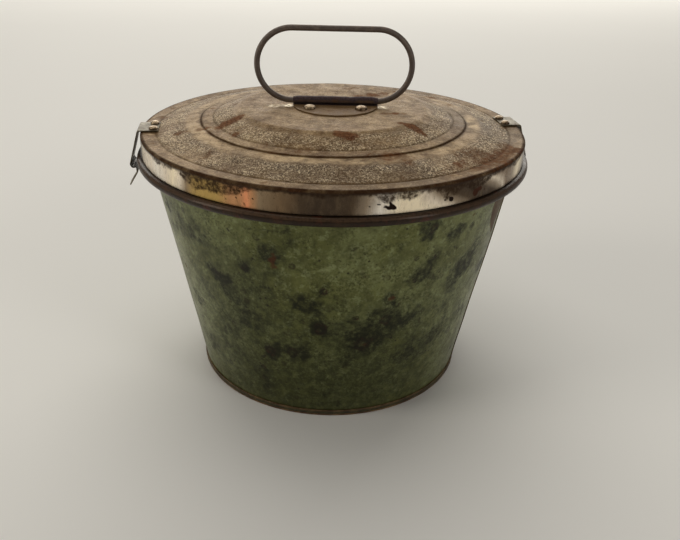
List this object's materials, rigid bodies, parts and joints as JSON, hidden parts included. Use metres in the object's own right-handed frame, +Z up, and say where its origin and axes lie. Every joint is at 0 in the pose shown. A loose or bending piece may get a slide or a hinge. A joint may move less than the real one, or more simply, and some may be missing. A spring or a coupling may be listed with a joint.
{
  "type": "covered pail",
  "caption": "Tapered tinplate pail with a stepped slip-over lid, an oval wire loop handle on the lid and two spring clips that hook under the pail's bead.",
  "frame": {"origin": "centre of the base, on the surface that the pail stands on", "axes": "+Z up through the lid, +X to the right along the handle's long side, -Y towards the front where the handle plate's round edge points"},
  "size_m": [0.2138, 0.2036, 0.1836],
  "materials": {
    "sage_paint": "worn semi-gloss paint with dark blotches",
    "bottom_tin": "rusty tinplate",
    "bead_dark": "dark rusty rolled edge",
    "iron_wire": "dull iron wire",
    "lid_tin": "dull oxidised tinplate with rust",
    "handle_wire": "blackened wire",
    "plate_tin": "dull oxidised tinplate",
    "rivet_tin": "tinned rivet heads",
    "clip_tin": "grey tinned spring strip"
  },
  "bodies": {
    "pail": {"body_wall": "sage_paint", "bottom_pan": "bottom_tin", "stop_bead": "bead_dark", "bead_wire": "iron_wire"},
    "lid": {"lid_cover": "lid_tin", "handle_plate": "plate_tin", "handle_rivets": "rivet_tin", "left_clip_seat": "clip_tin", "left_clip_rivets": "rivet_tin", "right_clip_seat": "clip_tin", "right_clip_rivets": "rivet_tin"},
    "handle": {"handle_loop": "handle_wire"},
    "left_clip": {"left_clip_spring": "clip_tin"},
    "right_clip": {"right_clip_spring": "clip_tin"}
  },
  "joints": [
    {"name": "lid_lift", "type": "slide", "parent": "pail", "child": "lid", "axis": [0, 0, 1], "range_m": [0, 0.045]},
    {"name": "handle_swing", "type": "hinge", "parent": "lid", "child": "handle", "pos_m": [0, 0, 0.1461], "axis": [1, 0, 0], "range_deg": [-90, 90]},
    {"name": "left_clip_flex", "type": "hinge", "parent": "lid", "child": "left_clip", "pos_m": [-0.09756, -0.01284, 0.13375], "axis": [-0.1305, 0.9914, 0], "range_deg": [-6, 14], "stiffness_Nm_per_rad": 0.3},
    {"name": "right_clip_flex", "type": "hinge", "parent": "lid", "child": "right_clip", "pos_m": [0.09756, 0.01284, 0.13375], "axis": [0.1305, -0.9914, 0], "range_deg": [-6, 14], "stiffness_Nm_per_rad": 0.3}
  ]
}
